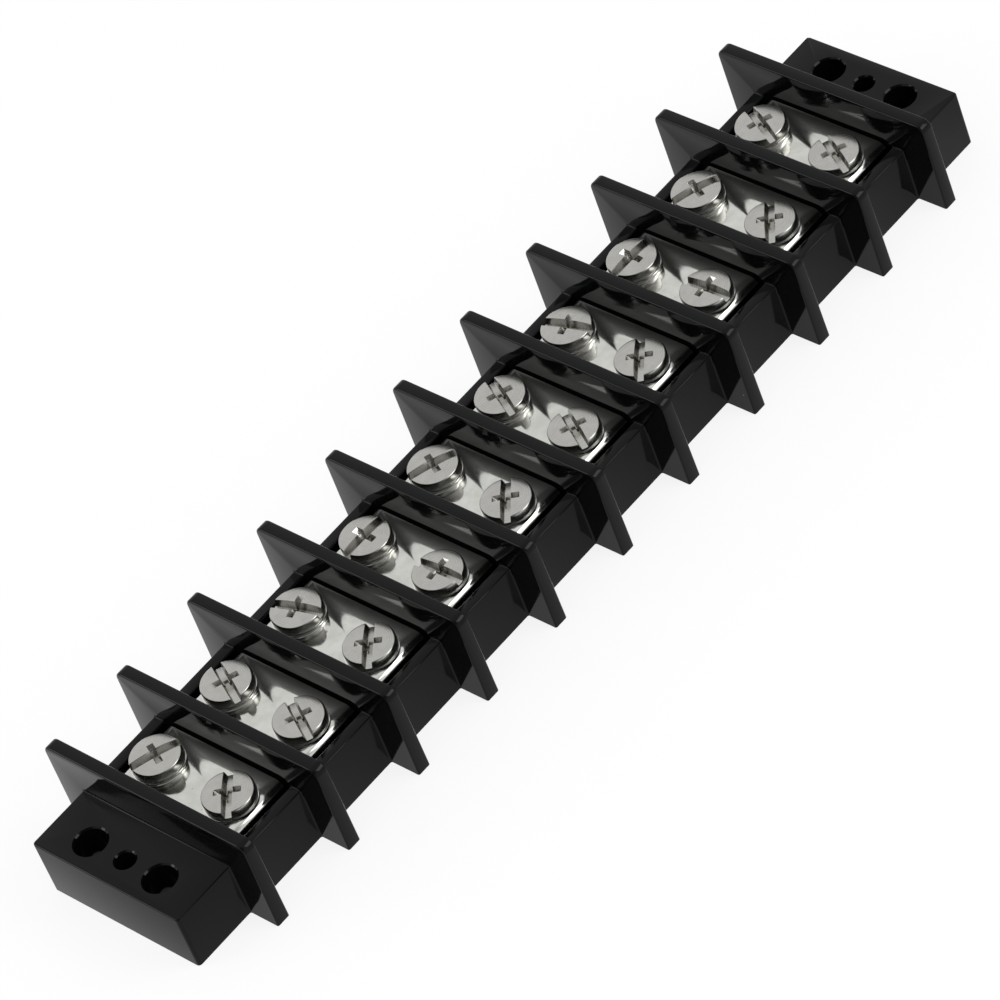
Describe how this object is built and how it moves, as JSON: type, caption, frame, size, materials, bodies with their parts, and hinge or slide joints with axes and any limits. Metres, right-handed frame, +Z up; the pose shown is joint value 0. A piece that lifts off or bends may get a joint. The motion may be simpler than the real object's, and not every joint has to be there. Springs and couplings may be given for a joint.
{
  "type": "barrier terminal strip",
  "caption": "Long moulded block with upright barriers between bays; each bay has a plated metal strip with two clamping screws, and each end has mounting holes.",
  "frame": {"origin": "middle of the row, at its underside", "axes": "+X along the row towards bay 10, +Y across the row towards the left-hand screws, +Z up"},
  "size_m": [0.1852, 0.0422, 0.0175],
  "materials": {
    "housing": "glossy black moulded plastic with light flow marks",
    "strip": "bright nickel-plated sheet, lightly polished",
    "washer": "bright nickel plating",
    "screw": "satin nickel plating with fine turning and forming marks"
  },
  "bodies": {
    "housing": {"housing": "housing", "strip_1": "strip", "strip_2": "strip", "strip_3": "strip", "strip_4": "strip", "strip_5": "strip", "strip_6": "strip", "strip_7": "strip", "strip_8": "strip", "strip_9": "strip", "strip_10": "strip"},
    "washer_1_left": {"washer_1_left": "washer"},
    "screw_1_left": {"screw_1_left": "screw"},
    "washer_1_right": {"washer_1_right": "washer"},
    "screw_1_right": {"screw_1_right": "screw"},
    "washer_2_left": {"washer_2_left": "washer"},
    "screw_2_left": {"screw_2_left": "screw"},
    "washer_2_right": {"washer_2_right": "washer"},
    "screw_2_right": {"screw_2_right": "screw"},
    "washer_3_left": {"washer_3_left": "washer"},
    "screw_3_left": {"screw_3_left": "screw"},
    "washer_3_right": {"washer_3_right": "washer"},
    "screw_3_right": {"screw_3_right": "screw"},
    "washer_4_left": {"washer_4_left": "washer"},
    "screw_4_left": {"screw_4_left": "screw"},
    "washer_4_right": {"washer_4_right": "washer"},
    "screw_4_right": {"screw_4_right": "screw"},
    "washer_5_left": {"washer_5_left": "washer"},
    "screw_5_left": {"screw_5_left": "screw"},
    "washer_5_right": {"washer_5_right": "washer"},
    "screw_5_right": {"screw_5_right": "screw"},
    "washer_6_left": {"washer_6_left": "washer"},
    "screw_6_left": {"screw_6_left": "screw"},
    "washer_6_right": {"washer_6_right": "washer"},
    "screw_6_right": {"screw_6_right": "screw"},
    "washer_7_left": {"washer_7_left": "washer"},
    "screw_7_left": {"screw_7_left": "screw"},
    "washer_7_right": {"washer_7_right": "washer"},
    "screw_7_right": {"screw_7_right": "screw"},
    "washer_8_left": {"washer_8_left": "washer"},
    "screw_8_left": {"screw_8_left": "screw"},
    "washer_8_right": {"washer_8_right": "washer"},
    "screw_8_right": {"screw_8_right": "screw"},
    "washer_9_left": {"washer_9_left": "washer"},
    "screw_9_left": {"screw_9_left": "screw"},
    "washer_9_right": {"washer_9_right": "washer"},
    "screw_9_right": {"screw_9_right": "screw"},
    "washer_10_left": {"washer_10_left": "washer"},
    "screw_10_left": {"screw_10_left": "screw"},
    "washer_10_right": {"washer_10_right": "washer"},
    "screw_10_right": {"screw_10_right": "screw"}
  },
  "joints": [
    {"name": "washer_1_left_lift", "type": "slide", "parent": "housing", "child": "washer_1_left", "axis": [0, 0, 1], "range_m": [0, 0.0056]},
    {"name": "screw_1_left_turn", "type": "hinge", "parent": "washer_1_left", "child": "screw_1_left", "pos_m": [-0.072, 0.0076, 0.0115], "axis": [0, 0, 1], "range_deg": [0, 2881]},
    {"name": "washer_1_right_lift", "type": "slide", "parent": "housing", "child": "washer_1_right", "axis": [0, 0, 1], "range_m": [0, 0.0056]},
    {"name": "screw_1_right_turn", "type": "hinge", "parent": "washer_1_right", "child": "screw_1_right", "pos_m": [-0.072, -0.0076, 0.0115], "axis": [0, 0, 1], "range_deg": [0, 2881]},
    {"name": "washer_2_left_lift", "type": "slide", "parent": "housing", "child": "washer_2_left", "axis": [0, 0, 1], "range_m": [0, 0.0056]},
    {"name": "screw_2_left_turn", "type": "hinge", "parent": "washer_2_left", "child": "screw_2_left", "pos_m": [-0.056, 0.0076, 0.0115], "axis": [0, 0, 1], "range_deg": [0, 2881]},
    {"name": "washer_2_right_lift", "type": "slide", "parent": "housing", "child": "washer_2_right", "axis": [0, 0, 1], "range_m": [0, 0.0056]},
    {"name": "screw_2_right_turn", "type": "hinge", "parent": "washer_2_right", "child": "screw_2_right", "pos_m": [-0.056, -0.0076, 0.0115], "axis": [0, 0, 1], "range_deg": [0, 2881]},
    {"name": "washer_3_left_lift", "type": "slide", "parent": "housing", "child": "washer_3_left", "axis": [0, 0, 1], "range_m": [0, 0.0056]},
    {"name": "screw_3_left_turn", "type": "hinge", "parent": "washer_3_left", "child": "screw_3_left", "pos_m": [-0.04, 0.0076, 0.0115], "axis": [0, 0, 1], "range_deg": [0, 2881]},
    {"name": "washer_3_right_lift", "type": "slide", "parent": "housing", "child": "washer_3_right", "axis": [0, 0, 1], "range_m": [0, 0.0056]},
    {"name": "screw_3_right_turn", "type": "hinge", "parent": "washer_3_right", "child": "screw_3_right", "pos_m": [-0.04, -0.0076, 0.0115], "axis": [0, 0, 1], "range_deg": [0, 2881]},
    {"name": "washer_4_left_lift", "type": "slide", "parent": "housing", "child": "washer_4_left", "axis": [0, 0, 1], "range_m": [0, 0.0056]},
    {"name": "screw_4_left_turn", "type": "hinge", "parent": "washer_4_left", "child": "screw_4_left", "pos_m": [-0.024, 0.0076, 0.0115], "axis": [0, 0, 1], "range_deg": [0, 2881]},
    {"name": "washer_4_right_lift", "type": "slide", "parent": "housing", "child": "washer_4_right", "axis": [0, 0, 1], "range_m": [0, 0.0056]},
    {"name": "screw_4_right_turn", "type": "hinge", "parent": "washer_4_right", "child": "screw_4_right", "pos_m": [-0.024, -0.0076, 0.0115], "axis": [0, 0, 1], "range_deg": [0, 2881]},
    {"name": "washer_5_left_lift", "type": "slide", "parent": "housing", "child": "washer_5_left", "axis": [0, 0, 1], "range_m": [0, 0.0056]},
    {"name": "screw_5_left_turn", "type": "hinge", "parent": "washer_5_left", "child": "screw_5_left", "pos_m": [-0.008, 0.0076, 0.0115], "axis": [0, 0, 1], "range_deg": [0, 2881]},
    {"name": "washer_5_right_lift", "type": "slide", "parent": "housing", "child": "washer_5_right", "axis": [0, 0, 1], "range_m": [0, 0.0056]},
    {"name": "screw_5_right_turn", "type": "hinge", "parent": "washer_5_right", "child": "screw_5_right", "pos_m": [-0.008, -0.0076, 0.0115], "axis": [0, 0, 1], "range_deg": [0, 2881]},
    {"name": "washer_6_left_lift", "type": "slide", "parent": "housing", "child": "washer_6_left", "axis": [0, 0, 1], "range_m": [0, 0.0056]},
    {"name": "screw_6_left_turn", "type": "hinge", "parent": "washer_6_left", "child": "screw_6_left", "pos_m": [0.008, 0.0076, 0.0115], "axis": [0, 0, 1], "range_deg": [0, 2881]},
    {"name": "washer_6_right_lift", "type": "slide", "parent": "housing", "child": "washer_6_right", "axis": [0, 0, 1], "range_m": [0, 0.0056]},
    {"name": "screw_6_right_turn", "type": "hinge", "parent": "washer_6_right", "child": "screw_6_right", "pos_m": [0.008, -0.0076, 0.0115], "axis": [0, 0, 1], "range_deg": [0, 2881]},
    {"name": "washer_7_left_lift", "type": "slide", "parent": "housing", "child": "washer_7_left", "axis": [0, 0, 1], "range_m": [0, 0.0056]},
    {"name": "screw_7_left_turn", "type": "hinge", "parent": "washer_7_left", "child": "screw_7_left", "pos_m": [0.024, 0.0076, 0.0115], "axis": [0, 0, 1], "range_deg": [0, 2881]},
    {"name": "washer_7_right_lift", "type": "slide", "parent": "housing", "child": "washer_7_right", "axis": [0, 0, 1], "range_m": [0, 0.0056]},
    {"name": "screw_7_right_turn", "type": "hinge", "parent": "washer_7_right", "child": "screw_7_right", "pos_m": [0.024, -0.0076, 0.0115], "axis": [0, 0, 1], "range_deg": [0, 2881]},
    {"name": "washer_8_left_lift", "type": "slide", "parent": "housing", "child": "washer_8_left", "axis": [0, 0, 1], "range_m": [0, 0.0056]},
    {"name": "screw_8_left_turn", "type": "hinge", "parent": "washer_8_left", "child": "screw_8_left", "pos_m": [0.04, 0.0076, 0.0115], "axis": [0, 0, 1], "range_deg": [0, 2881]},
    {"name": "washer_8_right_lift", "type": "slide", "parent": "housing", "child": "washer_8_right", "axis": [0, 0, 1], "range_m": [0, 0.0056]},
    {"name": "screw_8_right_turn", "type": "hinge", "parent": "washer_8_right", "child": "screw_8_right", "pos_m": [0.04, -0.0076, 0.0115], "axis": [0, 0, 1], "range_deg": [0, 2881]},
    {"name": "washer_9_left_lift", "type": "slide", "parent": "housing", "child": "washer_9_left", "axis": [0, 0, 1], "range_m": [0, 0.0056]},
    {"name": "screw_9_left_turn", "type": "hinge", "parent": "washer_9_left", "child": "screw_9_left", "pos_m": [0.056, 0.0076, 0.0115], "axis": [0, 0, 1], "range_deg": [0, 2881]},
    {"name": "washer_9_right_lift", "type": "slide", "parent": "housing", "child": "washer_9_right", "axis": [0, 0, 1], "range_m": [0, 0.0056]},
    {"name": "screw_9_right_turn", "type": "hinge", "parent": "washer_9_right", "child": "screw_9_right", "pos_m": [0.056, -0.0076, 0.0115], "axis": [0, 0, 1], "range_deg": [0, 2881]},
    {"name": "washer_10_left_lift", "type": "slide", "parent": "housing", "child": "washer_10_left", "axis": [0, 0, 1], "range_m": [0, 0.0056]},
    {"name": "screw_10_left_turn", "type": "hinge", "parent": "washer_10_left", "child": "screw_10_left", "pos_m": [0.072, 0.0076, 0.0115], "axis": [0, 0, 1], "range_deg": [0, 2881]},
    {"name": "washer_10_right_lift", "type": "slide", "parent": "housing", "child": "washer_10_right", "axis": [0, 0, 1], "range_m": [0, 0.0056]},
    {"name": "screw_10_right_turn", "type": "hinge", "parent": "washer_10_right", "child": "screw_10_right", "pos_m": [0.072, -0.0076, 0.0115], "axis": [0, 0, 1], "range_deg": [0, 2881]}
  ],
  "couplings": [
    {"joint": "screw_1_left_turn", "follows": "washer_1_left_lift", "rad_per_m": 8976},
    {"joint": "screw_1_right_turn", "follows": "washer_1_right_lift", "rad_per_m": 8976},
    {"joint": "screw_2_left_turn", "follows": "washer_2_left_lift", "rad_per_m": 8976},
    {"joint": "screw_2_right_turn", "follows": "washer_2_right_lift", "rad_per_m": 8976},
    {"joint": "screw_3_left_turn", "follows": "washer_3_left_lift", "rad_per_m": 8976},
    {"joint": "screw_3_right_turn", "follows": "washer_3_right_lift", "rad_per_m": 8976},
    {"joint": "screw_4_left_turn", "follows": "washer_4_left_lift", "rad_per_m": 8976},
    {"joint": "screw_4_right_turn", "follows": "washer_4_right_lift", "rad_per_m": 8976},
    {"joint": "screw_5_left_turn", "follows": "washer_5_left_lift", "rad_per_m": 8976},
    {"joint": "screw_5_right_turn", "follows": "washer_5_right_lift", "rad_per_m": 8976},
    {"joint": "screw_6_left_turn", "follows": "washer_6_left_lift", "rad_per_m": 8976},
    {"joint": "screw_6_right_turn", "follows": "washer_6_right_lift", "rad_per_m": 8976},
    {"joint": "screw_7_left_turn", "follows": "washer_7_left_lift", "rad_per_m": 8976},
    {"joint": "screw_7_right_turn", "follows": "washer_7_right_lift", "rad_per_m": 8976},
    {"joint": "screw_8_left_turn", "follows": "washer_8_left_lift", "rad_per_m": 8976},
    {"joint": "screw_8_right_turn", "follows": "washer_8_right_lift", "rad_per_m": 8976},
    {"joint": "screw_9_left_turn", "follows": "washer_9_left_lift", "rad_per_m": 8976},
    {"joint": "screw_9_right_turn", "follows": "washer_9_right_lift", "rad_per_m": 8976},
    {"joint": "screw_10_left_turn", "follows": "washer_10_left_lift", "rad_per_m": 8976},
    {"joint": "screw_10_right_turn", "follows": "washer_10_right_lift", "rad_per_m": 8976}
  ]
}
